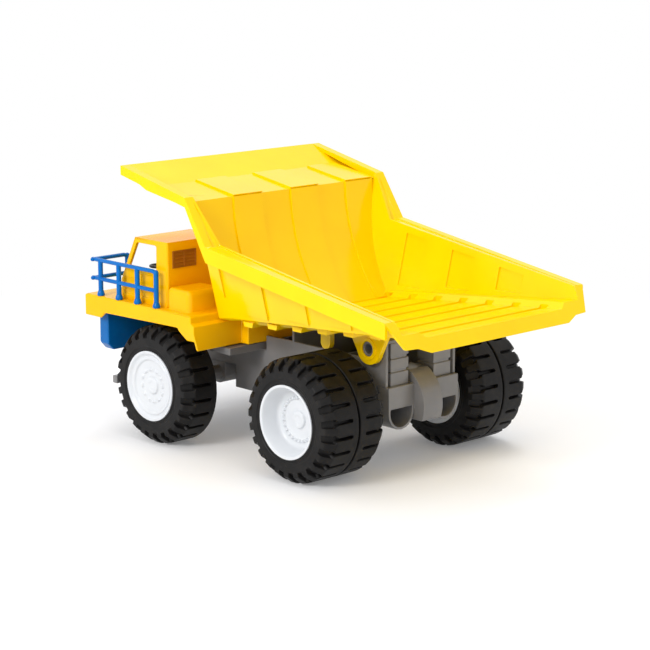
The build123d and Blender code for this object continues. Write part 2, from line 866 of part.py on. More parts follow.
def cab_outline(grow_in):
    return [
        (cab_front_y + grow_in, deck_z),
        (cab_front_y + grow_in, screen_foot_z),
        (screen_top_y + grow_in, cab_z - grow_in),
        (cab_rear_y - grow_in, cab_z - grow_in),
        (cab_rear_y - grow_in, deck_z),
    ]


def cab_shell():
    body = plate_yz(cab_outline(0), cab_right, cab_left)
    body = fillet(body.edges().filter_by(Axis.Z).group_by(Axis.Y)[-1], cab_edge)
    body -= plate_yz(cab_outline(cab_wall), cab_right + cab_wall, cab_left - cab_wall)
    slope = (screen_top_y - cab_front_y) / (cab_z - screen_foot_z)

    def screen_y(z):
        return cab_front_y + slope * (z - screen_foot_z)

    window = [
        (screen_y(window_low_z) + pillar, window_low_z),
        (window_rear_y, window_low_z),
        (window_rear_y, window_high_z),
        (screen_y(window_high_z) + pillar, window_high_z),
    ]
    body -= plate_yz(window, cab_right - past, cab_left + past)
    screen_low_z = screen_foot_z + screen_sill
    screen = [
        (screen_y(screen_low_z) - screen_reach, screen_low_z),
        (screen_y(screen_low_z) + pillar, screen_low_z),
        (screen_y(window_high_z) + pillar, window_high_z),
        (screen_y(window_high_z) - screen_reach, window_high_z),
    ]
    body -= plate_yz(screen, cab_right + pillar, cab_left - pillar)
    for front, rear, foot, head in side_panels:
        body -= block(cab_left - panel_sink, cab_left + past, front, rear, foot, head)
    return body


def cab_interior():
    x_low = cab_right + cab_wall
    x_high = cab_left - cab_wall
    front = cab_front_y + cab_wall
    rear = cab_rear_y - cab_wall
    dash_outline = [
        (front, deck_z),
        (front, screen_foot_z),
        (front + (dash_z - screen_foot_z) / 2, dash_z),
        (dash_rear_y, dash_z),
        (dash_rear_y, deck_z),
    ]
    body = plate_yz(dash_outline, x_low, x_high)
    body += block(x_low, x_high, front, rear, deck_z, deck_z + cab_wall)
    middle = (x_low + x_high) / 2
    sides = (middle - seat_half, middle + seat_half)
    seat = block(*sides, rear - seat_depth, rear, deck_z, seat_z)
    seat += block(*sides, rear - seat_back, rear, deck_z, seat_z + seat_back_rise)
    return body + seat


def steering_wheel():
    middle = (cab_left + cab_right) / 2
    ring = RegularPolygon(wheel_radius, wheel_sides) - RegularPolygon(wheel_radius - wheel_grip, wheel_sides)
    body = extrude(ring, amount=wheel_grip)
    spoke_length = 2 * (wheel_radius - wheel_grip) + sink
    body += Pos(0, 0, wheel_grip / 2) * Box(spoke_length, wheel_grip, wheel_grip)
    body += extrude(RegularPolygon(wheel_grip, rail_sides), amount=-wheel_lift)
    return Pos(middle, wheel_y, dash_z + wheel_lift) * body


def louvre():
    """Framed panel with sloping slats and a centre bar, set on the cab's rear face."""
    left = cab_left - louvre_inset
    right = left - louvre_width
    high = louvre_low_z + louvre_height
    y = cab_rear_y
    body = block(right, left, y, y + louvre_rise, louvre_low_z, high)
    inner_right = right + louvre_frame
    inner_left = left - louvre_frame
    inner_low = louvre_low_z + louvre_frame
    inner_high = high - louvre_frame
    body -= block(inner_right, inner_left, y + louvre_back, y + louvre_rise + past, inner_low, inner_high)
    pitch = (louvre_height - 2 * louvre_frame) / slat_count
    for index in range(slat_count):
        z = inner_low + index * pitch
        slat = [(y, z), (y + louvre_rise, z + slat_lip), (y, z + pitch - slat_gap)]
        body += plate_yz(slat, inner_right - slat_sink, inner_left + slat_sink)
    middle = (left + right) / 2
    return body + block(middle - slat_sink, middle + slat_sink, y, y + louvre_rise, louvre_low_z, high)


# ---- railing, bumper and step bar ----
def bar(start, end, radius):
    """Many-sided straight bar between two points."""
    path = Line(start, end)
    section = RegularPolygon(radius, rail_sides, major_radius=False)
    return extrude(Plane(path @ 0, z_dir=path % 0) * section, path.length)


def railing(side, gate_x, front_posts):
    """Railing along one side and the front of the deck; side is 1 on the left and -1 on the right."""
    x = side * (deck_half - rail_inset)
    first_y = rail_front_y + side_post_setback
    posts = [(x, first_y + index * (rail_rear_y - first_y) / side_bays) for index in range(side_bays + 1)]
    posts += [(gate_x + index * (x - gate_x) / front_posts, rail_front_y) for index in range(front_posts)]
    body = None
    for post_x, post_y in posts:
        post = bar((post_x, post_y, deck_z), (post_x, post_y, rail_top_z), post_radius)
        post += bar((post_x, post_y, deck_z), (post_x, post_y, deck_z + foot_height), foot_radius)
        body = post if body is None else body + post
    for z in (rail_mid_z, rail_top_z):
        corner = (x, rail_front_y, z)
        body += bar((x, rail_rear_y, z), (x, rail_front_y - rail_radius / 2, z), rail_radius)
        body += bar((gate_x, rail_front_y, z), (x + side * rail_radius / 2, rail_front_y, z), rail_radius)
    return body


def bumper():
    outline = [
        (bumper_half - bumper_corner, bumper_low_z),
        (bumper_half, bumper_low_z + bumper_corner),
        (bumper_half, deck_z - shell_wall),
    ]
    outline += [(-x, z) for x, z in outline[::-1]]
    body = plate_xz(outline, bumper_front_y, bumper_rear_y)
    grille_ys = (bumper_front_y - past, bumper_front_y + grille_depth)
    body -= block(-grille_half, grille_half, *grille_ys, grille_low_z, skirt_front_z)
    pitch = (skirt_front_z - grille_low_z) / grille_bars
    for index in range(1, grille_bars):
        low = grille_low_z + index * pitch - grille_bar_half
        high = low + 2 * grille_bar_half
        body += block(-grille_half, grille_half, bumper_front_y + grille_bar_sink, bumper_rear_y, low, high)
    lamp_z = (grille_low_z + skirt_front_z) / 2
    lamp_plane = Plane.XZ.offset(-bumper_front_y) * Pos(lamp_x, lamp_z)
    lamp = extrude(lamp_plane * RegularPolygon(lamp_radius, hub_sides), amount=lamp_rise, both=True)
    stay_zs = (nose_low_z + stay_low, nose_low_z + stay_high)
    stay = block(tub_half - stay_width, tub_half, bumper_rear_y, tub_front_y, *stay_zs)
    return body + both_sides(lamp + stay)


def front_step_bar():
    """Low bar across the front, carried by two arms under the chassis's nose."""
    front = step_bar_y - step_bar_depth / 2
    rear = step_bar_y + step_bar_depth / 2
    low = step_bar_z - step_bar_height / 2
    high = step_bar_z + step_bar_height / 2
    body = block(-bumper_half, bumper_half, front, rear, low, high)
    root_y = tub_front_y + 2 * step_arm_width
    arm_outline = [
        (front, low),
        (rear + step_arm_heel, low),
        (root_y, nose_low_z - step_bar_height),
        (root_y, nose_low_z),
        (tub_front_y, nose_low_z),
        (front, high),
    ]
    return body + both_sides(plate_yz(arm_outline, tub_half - step_arm_width, tub_half))


save_wheels()
save("chassis_frame", chassis())
save("front_axle_beam", front_axle_beam())
save("rear_axle_housing", rear_axle_housing())
save("left_strut", strut())
save("right_strut", mirror(strut(), Plane.YZ))
save("bed", bed())
save("deck_shell", deck_shell())
save("cab_shell", cab_shell())
save("cab_interior", cab_interior())
save("steering_wheel", steering_wheel())
save("cab_louvre", louvre())
save("left_railing", railing(1, gate_left, 1))
save("right_railing", railing(-1, gate_right, right_front_bays))
save("front_bumper", bumper())
save("front_step_bar", front_step_bar())
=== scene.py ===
import json
import math

import bmesh
import bpy
import numpy as np
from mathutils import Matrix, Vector


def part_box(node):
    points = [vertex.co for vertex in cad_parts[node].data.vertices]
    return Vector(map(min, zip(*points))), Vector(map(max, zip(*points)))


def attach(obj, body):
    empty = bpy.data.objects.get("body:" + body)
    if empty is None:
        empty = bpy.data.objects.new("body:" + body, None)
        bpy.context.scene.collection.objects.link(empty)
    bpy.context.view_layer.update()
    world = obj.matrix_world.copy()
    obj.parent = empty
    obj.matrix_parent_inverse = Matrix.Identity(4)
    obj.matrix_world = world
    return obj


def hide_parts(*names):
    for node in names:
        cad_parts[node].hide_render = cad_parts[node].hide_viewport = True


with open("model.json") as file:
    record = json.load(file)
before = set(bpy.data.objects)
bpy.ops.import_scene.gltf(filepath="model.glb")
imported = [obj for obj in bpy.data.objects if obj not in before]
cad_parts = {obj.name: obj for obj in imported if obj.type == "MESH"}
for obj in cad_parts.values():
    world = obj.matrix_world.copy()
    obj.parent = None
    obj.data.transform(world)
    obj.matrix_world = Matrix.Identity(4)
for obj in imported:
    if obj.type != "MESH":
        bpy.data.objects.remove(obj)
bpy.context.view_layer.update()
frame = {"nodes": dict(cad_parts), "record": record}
mm = 0.001
record = frame["record"]
slotOf = {entry["node"]: entry["material_slot"] for entry in record["subparts"]}
bodyOf = {node: body for body, members in record["behaviour"]["bodies"].items() for node in members}
print("frame", len(frame["nodes"]), "nodes")


# A node's output; arithmetic on it adds Math nodes
class Wire:
    def __init__(self, shader, socket):
        self.shader = shader
        self.socket = socket

    def maths(self, operation, *values):
        return self.shader.add("ShaderNodeMath", {"operation": operation}, dict(enumerate(values)))

    def __add__(self, other):
        return self.maths("ADD", self, other)

    def __radd__(self, other):
        return self.maths("ADD", other, self)

    def __sub__(self, other):
        return self.maths("SUBTRACT", self, other)

    def __rsub__(self, other):
        return self.maths("SUBTRACT", other, self)

    def __mul__(self, other):
        return self.maths("MULTIPLY", self, other)

    def __rmul__(self, other):
        return self.maths("MULTIPLY", other, self)

    def __pow__(self, other):
        return self.maths("POWER", self, other)

    def __rpow__(self, other):
        return self.maths("POWER", other, self)

    def most(self, other):
        return self.maths("MAXIMUM", self, other)

    def sine(self):
        return self.maths("SINE", self)

    def root(self):
        return self.maths("SQRT", self)

    # 0 below low, 1 above high, even slope between
    def ramp(self, low, high):
        inputs = {"Value": self, "From Min": low, "From Max": high, "To Min": 0.0, "To Max": 1.0}
        return self.shader.add("ShaderNodeMapRange", {"clamp": True}, inputs)


# The node tree of a material or a world
class Shader:
    def __init__(self, block):
        self.block = block
        block.use_nodes = True
        self.tree = block.node_tree
        self.tree.nodes.clear()
        self.coords = None
        self.split = None

    def add(self, kind, settings=None, inputs=None, output=0):
        node = self.tree.nodes.new(kind)
        for name, value in (settings or {}).items():
            setattr(node, name, value)
        for name, value in (inputs or {}).items():
            if isinstance(value, Wire):
                self.tree.links.new(value.socket, node.inputs[name])
            else:
                node.inputs[name].default_value = value
        return Wire(self, node.outputs[output] if node.outputs else None)

    # object coordinates, made once
    def place(self):
        if self.coords is None:
            self.coords = self.add("ShaderNodeTexCoord", output="Object")
        return self.coords

    def axis(self, name):
        if self.split is None:
            self.split = self.add("ShaderNodeSeparateXYZ", inputs={0: self.place()}).socket.node
        return Wire(self, self.split.outputs[name])

    # size is the width of one blotch in millimetres
    def noise(self, size, detail=2.0, rough=0.5, stretch=(1.0, 1.0, 1.0)):
        spot = self.add("ShaderNodeMapping", inputs={"Vector": self.place(), "Scale": stretch})
        inputs = {"Vector": spot, "Scale": 1.0 / (size * mm), "Detail": detail, "Roughness": rough}
        return self.add("ShaderNodeTexNoise", inputs=inputs)

    def mix(self, amount, low, high):
        inputs = {0: amount, 6: rgba(low), 7: rgba(high)}
        return self.add("ShaderNodeMix", {"data_type": "RGBA"}, inputs, output=2)

    def bump(self, height, depth, under=None):
        inputs = {"Height": height, "Distance": depth * mm, "Strength": 1.0}
        if under is not None:
            inputs["Normal"] = under
        return self.add("ShaderNodeBump", inputs=inputs)

    # 1 where the camera, gloss or glass looks, 0 where the ray only carries light
    def seen(self):
        camera = self.add("ShaderNodeLightPath", output="Is Camera Ray")
        rays = camera.socket.node.outputs
        return camera.most(Wire(self, rays["Is Glossy Ray"])).most(Wire(self, rays["Is Transmission Ray"]))

    def principled(self, inputs):
        return self.add("ShaderNodeBsdfPrincipled", inputs=inputs)

    def show(self, surface, kind="ShaderNodeOutputMaterial"):
        self.add(kind, inputs={"Surface": surface})
        return self.block


def rgba(colour):
    return (*colour, 1.0)


white, black = (1.0, 1.0, 1.0), (0.0, 0.0, 0.0)
plasticLooks = {  # deep is the colour of the thicker places, shine the strength of the plain reflection
    "bed_yellow_plastic": {
        "base": (0.97, 0.66, 0.0), "deep": (0.96, 0.62, 0.0), "rough": 0.15, "shine": 0.16, "coat": 0.06,
    },
    "cab_yellow_plastic": {
        "base": (0.97, 0.53, 0.0), "deep": (0.96, 0.49, 0.0), "rough": 0.22, "shine": 0.14, "coat": 0.05,
    },
    "white_plastic": {
        "base": (0.68, 0.70, 0.725), "deep": (0.64, 0.66, 0.69), "rough": 0.28, "shine": 0.45, "coat": 0.20,
    },
    "grey_plastic": {
        "base": (0.215, 0.210, 0.210), "deep": (0.165, 0.161, 0.161), "rough": 0.27, "shine": 0.5, "coat": 0.15,
    },
    "blue_plastic": {
        "base": (0.0, 0.145, 0.50), "deep": (0.0, 0.12, 0.44), "rough": 0.20, "shine": 0.14, "coat": 0.04,
    },
    "bumper_blue_plastic": {
        "base": (0.0, 0.13, 0.42), "deep": (0.0, 0.11, 0.37), "rough": 0.22, "shine": 0.2, "coat": 0.06,
    },
    "brown_plastic": {
        "base": (0.40, 0.155, 0.008), "deep": (0.29, 0.10, 0.005), "rough": 0.42, "shine": 0.3, "coat": 0.0,
    },
    "black_plastic": {
        "base": (0.010, 0.010, 0.011), "deep": (0.018, 0.018, 0.018), "rough": 0.35, "shine": 0.4, "coat": 0.10,
    },
}
plasticSurface = {  # sizes and depths in mm
    "cloudSize": 34.0,  # slow change of colour
    "cloudRange": (0.35, 0.65),
    "waveSize": 16.0,  # sink marks of the moulding
    "waveDepth": 0.035,
    "grainSize": 0.35,
    "grainDepth": 0.004,
    "grainRough": 0.05,
    "scuffSize": 1.1,
    "scuffStretch": (0.12, 1.0, 1.0),
    "scuffRange": (0.56, 0.72),
    "scuffRough": 0.04,
    "coatRough": 0.10,
}


# Moulded plastic: colour = mix of base and deep by slow noise; roughness = rough + scuffs + grain;
# relief = fine grain on slow sink marks
def plasticMaterial(name, look):
    s = plasticSurface
    shader = Shader(bpy.data.materials.new(name))
    cloud = shader.noise(s["cloudSize"], detail=3.0).ramp(*s["cloudRange"])
    scuff = shader.noise(s["scuffSize"], detail=4.0, rough=0.6, stretch=s["scuffStretch"]).ramp(*s["scuffRange"])
    grain = shader.noise(s["grainSize"])
    waves = shader.bump(shader.noise(s["waveSize"], detail=1.0), s["waveDepth"])
    inputs = {
        "Base Color": shader.mix(cloud, look["base"], look["deep"]),
        "Roughness": look["rough"] + s["scuffRough"] * scuff + s["grainRough"] * grain,
        "Specular IOR Level": look["shine"],
        "Coat Weight": look["coat"],
        "Coat Roughness": s["coatRough"],
        "Normal": shader.bump(grain, s["grainDepth"], waves),
    }
    return shader.show(shader.principled(inputs))


rubberLook = {
    "base": (0.0060, 0.0057, 0.0058),
    "worn": (0.0145, 0.0130, 0.0120),
    "wearSize": 7.0,
    "wearRange": (0.45, 0.75),
    "rough": 0.40,
    "grainRough": 0.12,
    "shine": 0.18,
    "ringPitch": 1.5,  # fine circles on the sidewall, mm
    "ringDepth": 0.010,
    "grainSize": 0.5,
    "grainDepth": 0.02,
}


# Rubber: worn colour where slow noise is high; circles = sine of the distance from the axle
def rubberMaterial(name, axleY, axleZ):
    look = rubberLook
    shader = Shader(bpy.data.materials.new(name))
    away = ((shader.axis("Y") - axleY) ** 2.0 + (shader.axis("Z") - axleZ) ** 2.0).root()
    rings = (away * (2 * math.pi / (look["ringPitch"] * mm))).sine()
    wear = shader.noise(look["wearSize"], detail=4.0, rough=0.6).ramp(*look["wearRange"])
    grain = shader.noise(look["grainSize"], detail=3.0)
    inputs = {
        "Base Color": shader.mix(wear, look["base"], look["worn"]),
        "Roughness": look["rough"] + look["grainRough"] * grain,
        "Specular IOR Level": look["shine"],
        "Normal": shader.bump(rings, look["ringDepth"], shader.bump(grain, look["grainDepth"])),
    }
    return shader.show(shader.principled(inputs))


steelLook = {
    "base": (0.55, 0.55, 0.57),
    "bright": (0.66, 0.66, 0.68),
    "lineSize": 0.25,
    "lineStretch": (1.0, 0.05, 0.05),
    "lineDepth": 0.004,
    "rough": 0.25,
    "lineRough": 0.15,
}


# Drawn steel: fine lines round the pin, by noise stretched across its length
def steelMaterial(name):
    look = steelLook
    shader = Shader(bpy.data.materials.new(name))
    lines = shader.noise(look["lineSize"], stretch=look["lineStretch"])
    inputs = {
        "Base Color": shader.mix(lines, look["base"], look["bright"]),
        "Metallic": 1.0,
        "Roughness": look["rough"] + look["lineRough"] * lines,
        "Normal": shader.bump(lines, look["lineDepth"]),
    }
    return shader.show(shader.principled(inputs))


materials = {name: plasticMaterial(name, look) for name, look in plasticLooks.items()}
materials["axle_steel"] = steelMaterial("axle_steel")
print("materials", len(materials))


# A piece at the origin, with its place in its mesh
def newObject(name, mesh, material):
    piece = bpy.data.objects.new(name, mesh)
    bpy.context.scene.collection.objects.link(piece)
    mesh.materials.clear()
    mesh.materials.append(material)
    return piece


# The piece stands for the node: it rides on the node's body, and the node is hidden
def dress(piece, node):
    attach(piece, bodyOf[node])
    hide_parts(node)


# Quads between neighbouring rows and columns of a grid, with either direction closed if asked
def gridFaces(rows, columns, closeRows, closeColumns, flip=False):
    i = np.arange(rows if closeRows else rows - 1)[:, None]
    j = np.arange(columns if closeColumns else columns - 1)[None, :]
    nextRow = (i + 1) % rows
    nextColumn = (j + 1) % columns
    corners = [i * columns + j, i * columns + nextColumn, nextRow * columns + nextColumn, nextRow * columns + j]
    if flip:
        corners.reverse()
    return np.stack(np.broadcast_arrays(*corners), axis=-1).reshape(-1, 4)


# Points in millimetres; edges sharper than sharpDegrees stay sharp
def meshFrom(name, points, faces, sharpDegrees):
    mesh = bpy.data.meshes.new(name)
    mesh.from_pydata((np.asarray(points) * mm).reshape(-1, 3).tolist(), [], np.asarray(faces).tolist())
    mesh.polygons.foreach_set("use_smooth", [True] * len(mesh.polygons))
    mesh.set_sharp_from_angle(angle=math.radians(sharpDegrees))
    mesh.update()
    return mesh


# Rounds each inner corner of a polyline: a quadratic curve that starts and ends one radius from the corner,
# or just under half of the shorter side
def softLine(points, radii, steps=4, closed=False):
    corners = np.asarray(points, float)
    radii = np.broadcast_to(np.asarray(radii, float), (len(corners),))
    before = np.roll(corners, 1, axis=0) - corners
    after = np.roll(corners, -1, axis=0) - corners
    reachBefore = np.linalg.norm(before, axis=1)
    reachAfter = np.linalg.norm(after, axis=1)
    cut = np.minimum(radii, 0.49 * np.minimum(reachBefore, reachAfter))
    start = corners + before * (cut / np.maximum(reachBefore, 1e-9))[:, None]
    end = corners + after * (cut / np.maximum(reachAfter, 1e-9))[:, None]
    t = np.linspace(0, 1, steps)[None, :, None]
    curve = (1 - t) ** 2 * start[:, None] + 2 * t * (1 - t) * corners[:, None] + t**2 * end[:, None]
    if closed:
        return curve.reshape(-1, corners.shape[1])
    inner = curve[1:-1].reshape(-1, corners.shape[1])
    return np.vstack([corners[:1], inner, corners[-1:]])


# About an axle along X: point = (centre x + x, centre y + r sin a, centre z - r cos a), x mirrored by side
def aroundAxle(x, r, angle, centre, side):
    x, r, angle = np.broadcast_arrays(x, r, angle)
    return np.stack([side * (centre[0] + x), centre[1] + r * np.sin(angle), centre[2] - r * np.cos(angle)], axis=-1)


tyreShape = {  # mm
    "radius": 41.5,  # height of the axle too
    "bore": 24.6,
    "shoulderRun": 6.5,
    "shoulderDrop": 5.0,
    "depth": 3.3,
    "lugs": 24,
    "slot": 2.2,
    "slotRest": 5.5,  # plain strip beyond the slots' ends
    "notch": 5.4,
    "seam": 0.9,  # half of the groove between twin tyres
    "seamDepth": 2.8,
    "sideRing": 0.5,  # depth of the ring pressed into the sidewall
    "ringRadii": (1.2, 1.7, 3.0, 3.6),  # beyond the bore
    "rounding": (0.3, 0.5, 0.3, 0.3, 0.3, 0.3, 0.4, 0.9, 1.2, 0.2, 0.5, 0.3, 0.3),  # of the profile's corners
    "station": 1.1,  # most between points along the profile
    "rootSlack": 0.4,  # how far below the gaps' floor the profile still counts as tread
    "blendFrom": 0.8,  # slot widens to notch from here inside the shoulder
    "blendRun": 1.2,
    "leastSpread": 0.35,  # of a gap's edge where the gap closes
    "leastStep": 0.02,
    "gapOffsets": (0.55, 0.30, 0.08, 0.0, -0.08, -0.22),  # across a gap's edge, beyond its half width
    "gapDepths": (0.0, 0.015, 0.10, 0.35, 0.86, 1.0),  # share of the depth there
    "sharp": 38,
}


# Closed profile of (x, r) from the outer side inwards, rounded, with stations along its long runs
def tyreProfile(width):
    s = tyreShape
    radius, bore = s["radius"], s["bore"]
    side = radius - s["shoulderDrop"]
    ring = [bore + rise for rise in s["ringRadii"]]
    corners = [
        (-width, bore),
        (0.0, bore),
        (0.0, ring[0]),
        (-s["sideRing"], ring[1]),
        (-s["sideRing"], ring[2]),
        (0.0, ring[3]),
        (0.0, side - s["depth"]),
        (0.0, side),
        (-s["shoulderRun"], radius),
        (s["slotRest"] - width, radius),
        (s["seam"] - width, radius),
        (0.7 * s["seam"] - width, radius - s["seamDepth"]),
        (-width, radius - 1.2 * s["seamDepth"]),
    ]
    line = softLine(corners, s["rounding"], 5, closed=True)
    stations = [line[:1]]
    for a, b in zip(line[:-1], line[1:]):
        count = max(1, int(np.linalg.norm(b - a) / s["station"]))
        stations.append(a + (b - a) * (np.arange(1, count + 1) / count)[:, None])
    return np.vstack(stations)


# Tyre: radius = profile's radius - depth * q, where q runs from 0 on a lug to 1 on a gap's floor
def tyrePoints(width, centre):
    s = tyreShape
    radius = s["radius"]
    x, r = tyreProfile(width).T
    crown = radius - s["shoulderDrop"] * np.clip((x + s["shoulderRun"]) / s["shoulderRun"], 0, 1)
    outer = r > radius - s["shoulderDrop"] - s["depth"] - s["rootSlack"]
    # a gap's half width: wide notch on the shoulder, slot on the tread, round end
    blend = np.clip((x + s["shoulderRun"] + s["blendFrom"]) / s["blendRun"], 0, 1)
    toEnd = np.clip(x - s["slotRest"] + width, 0, s["slot"] / 2) / (s["slot"] / 2)
    roundEnd = np.sqrt(np.clip(1 - (1 - toEnd) ** 2, 0, 1))
    half = (s["slot"] + (s["notch"] - s["slot"]) * blend) / 2 * roundEnd
    live = (toEnd > 0) & outer
    # turns from a gap's middle to the next lug's middle, and the share of the depth at each
    offsets, depths = np.array(s["gapOffsets"]), np.array(s["gapDepths"])
    pitch = 2 * np.pi / s["lugs"]
    spread = np.maximum(np.where(live, roundEnd, 0.0), s["leastSpread"])
    reach = half[None, :] + offsets[:, None] * spread[None, :]
    reach = np.maximum(reach, s["leastStep"] * (len(offsets) - np.arange(len(offsets)))[:, None])
    turn = reach / radius
    share = np.linspace(0, 1, 4)[:-1][:, None]
    crest = pitch / 2 + (turn[0][None, :] - pitch / 2) * (1 - share[::-1])
    rightTurns = np.sort(np.vstack([np.zeros((1, len(x))), turn[::-1], crest[::-1]]), axis=0)
    rightDepths = np.concatenate([[1.0], depths[::-1], np.zeros(len(crest))])
    turns = np.vstack([-rightTurns[1:-1][::-1], rightTurns])
    q = np.concatenate([rightDepths[1:-1][::-1], rightDepths])[:, None] * live[None, :]
    drop = np.where(live, r - np.minimum(r, crown - s["depth"]), 0.0)
    lug = np.arange(s["lugs"])[:, None, None] * pitch + pitch / 2
    angle = (lug + turns[None]).reshape(-1, len(x))
    radii = np.tile(r[None, :] - q * drop[None, :], (s["lugs"], 1))
    return aroundAxle(x[None, :], radii, angle, centre, 1.0)


rimShape = {  # mm; front and rear are profiles of (x, r) from the tyre's bore to the middle
    "front": [
        (0.5, 24.55), (0.5, 22.9), (-1.0, 21.6), (-1.4, 20.6), (-0.6, 20.2), (-0.9, 18.4),
        (-2.1, 17.6), (-2.6, 12.4), (-2.0, 11.8), (-2.0, 10.6), (-2.7, 10.0), (-2.9, 6.4),
        (-1.4, 5.6), (-1.2, 3.0), (-1.6, 2.4), (-1.6, 0.0),
    ],
    "rear": [
        (0.5, 24.55), (0.5, 22.9), (-1.2, 22.2), (-9.6, 20.0), (-11.0, 19.2), (-11.6, 18.0),
        (-11.8, 15.6), (-10.9, 15.1), (-10.9, 13.6), (-11.9, 13.1), (-12.0, 6.4), (-10.4, 5.6),
        (-10.2, 3.0), (-10.6, 2.4), (-10.6, 0.0),
    ],
    "back": (0.0, 22.8, 24.55),  # radii of the barrel's inner end
    "backStep": 2.2,  # from there to the far side of the node
    "lip": 0.5,  # x of the outer side
    "corner": 0.5,
    "teeth": {"front": (11.2, 12, 0.55), "rear": (14.35, 26, 0.8)},  # ring's radius, count, rise
    "teethRun": 0.9,
    "teethFlat": 1.4,
    "teethSquare": 2.2,
    "segments": 240,
}


# Rim: closed profile = visible face + barrel back; the toothed ring rises by a squared-off sine
def rimPoints(axle, width, centre, side):
    s = rimShape
    face = softLine(s[axle], s["corner"])
    back = [(-width, r) for r in s["back"]]
    profile = np.vstack([face, back])
    angle = np.linspace(0, 2 * np.pi, s["segments"], endpoint=False)[:, None]
    grid = aroundAxle(profile[None, :, 0], profile[None, :, 1], angle, centre, side)
    radius, count, rise = s["teeth"][axle]
    ring = np.clip(s["teethFlat"] - np.abs(profile[:, 1] - radius) / s["teethRun"], 0, 1)[None, :]
    tooth = np.clip(s["teethSquare"] * np.sin(count * angle), -1, 1)
    grid[..., 0] += side * rise * ring * tooth * (profile[:, 0] > -width)[None, :]
    return grid


# x of a tyre counts inwards from its outer side, and an inner tyre is turned round
def makeTyre(node, low, high, centre, outer, side):
    width = (high.x - low.x) / mm
    inner = "inner" in node
    points = tyrePoints(width, centre)
    x = points[..., 0]
    points[..., 0] = side * (outer - width - x if inner else outer + x)
    return points, (side > 0) != inner


# x of a rim counts from a little inside its lip
def makeRim(node, low, high, centre, outer, side):
    s = rimShape
    axle = node.split("_")[0]
    width = (high.x - low.x) / mm - s["backStep"]
    return rimPoints(axle, width, (outer - s["lip"], *centre[1:]), side), side > 0


# A skin for each tyre and rim, about its own axle
def makeWheels():
    faceCount = 0
    for node in sorted(slotOf):
        if not node.endswith(("tyre", "rim")):
            continue
        low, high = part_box(node)
        side = 1 if low.x > 0 else -1
        outer = max(abs(low.x), abs(high.x)) / mm
        centre = (0.0, (low.y + high.y) / 2 / mm, tyreShape["radius"])
        isTyre = node.endswith("tyre")
        points, flip = (makeTyre if isTyre else makeRim)(node, low, high, centre, outer, side)
        faces = gridFaces(*points.shape[:2], True, True, flip)
        material = materials[f"rubber_{node.split('_')[0]}" if isTyre else "white_plastic"]
        name = f"{node}_skin"
        dress(newObject(name, meshFrom(name, points, faces, tyreShape["sharp"]), material), node)
        faceCount += len(faces)
    print("wheels", faceCount * 2, "triangles")


for axle in ("front", "rear"):
    pinLow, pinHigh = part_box(f"{axle}_axle_pin")
    axleY = (pinLow.y + pinHigh.y) / 2
    materials[f"rubber_{axle}"] = rubberMaterial(f"rubber_{axle}", axleY, tyreShape["radius"] * mm)
makeWheels()


copyWidths = {  # node: width of the rounded edge, mm
    "bed": 0.7,
    "deck_shell": 0.9,
    "cab_shell": 1.1,
    "cab_interior": 0.5,
    "chassis_frame": 0.4,
    "front_bumper": 1.2,
    "front_step_bar": 0.6,
    "rear_axle_housing": 0.5,
    "front_axle_beam": 0.4,
    "left_strut": 0.35,
    "right_strut": 0.35,
    "cab_louvre": 0.12,
}
copyFinish = {
    "merge": 0.004,  # mm
    "flat": 0.6,  # degrees up to which faces count as one plane
    "sharp": 24,  # degrees from which an edge is rounded
    "share": 0.42,  # of the room beside an edge that its rounding may take
    "least": 0.12,  # share of the width below which an edge stays sharp
    "parallel": 0.03,  # a side that leaves the edge by less than this share of its length doesn't count
    "segments": 2,
    "clamped": ("bed",),
    "materials": {"front_bumper": "bumper_blue_plastic"},
}


# Room for a rounding = share * the least distance that a neighbouring side runs across from the edge
def edgeRoom(edge):
    start, end = (vert.co for vert in edge.verts)
    along = (end - start).normalized()
    room = math.inf
    for loop in edge.link_loops:
        for near in (loop.link_loop_prev.edge, loop.link_loop_next.edge):
            side = near.verts[1].co - near.verts[0].co
            across = (side - along * side.dot(along)).length
            if across > copyFinish["parallel"] * side.length:
                room = min(room, across)
    return copyFinish["share"] * room


# A merged copy of a node whose sharp edges are rounded, each by its weight = room / width, at most 1
def roundedCopy(node, width):
    s = copyFinish
    name = f"{node}_rounded"
    work = bmesh.new()
    work.from_mesh(frame["nodes"][node].data)
    bmesh.ops.remove_doubles(work, verts=work.verts, dist=s["merge"] * mm)
    bmesh.ops.dissolve_limit(work, angle_limit=math.radians(s["flat"]), verts=work.verts, edges=work.edges)
    bmesh.ops.connect_verts_concave(work, faces=[face for face in work.faces if len(face.verts) > 4])
    bmesh.ops.recalc_face_normals(work, faces=work.faces)
    weight = work.edges.layers.float.new("bevel_weight_edge")
    for edge in work.edges:
        if edge.calc_face_angle(0.0) > math.radians(s["sharp"]):
            share = min(1.0, edgeRoom(edge) / (width * mm))
            edge.smooth = share > s["least"]
            edge[weight] = share if edge.smooth else 0.0
    mesh = bpy.data.meshes.new(name)
    work.to_mesh(mesh)
    work.free()
    mesh.polygons.foreach_set("use_smooth", [True] * len(mesh.polygons))
    piece = newObject(name, mesh, materials[s["materials"].get(node, slotOf[node])])
    bevel = piece.modifiers.new("Bevel", "BEVEL")
    bevel.width = width * mm
    bevel.segments = s["segments"]
    bevel.limit_method = "WEIGHT"
    bevel.miter_outer = "MITER_ARC"
    bevel.use_clamp_overlap = node in s["clamped"]
    flat = piece.modifiers.new("Flat faces", "WEIGHTED_NORMAL")
    flat.weight = 100
    flat.keep_sharp = True
    dress(piece, node)


for node, width in copyWidths.items():
    roundedCopy(node, width)
print("rounded copies", len(copyWidths))


tubeEnd = {"steps": 4, "from": 0.05}  # rings of a round end, and the angle of the smallest


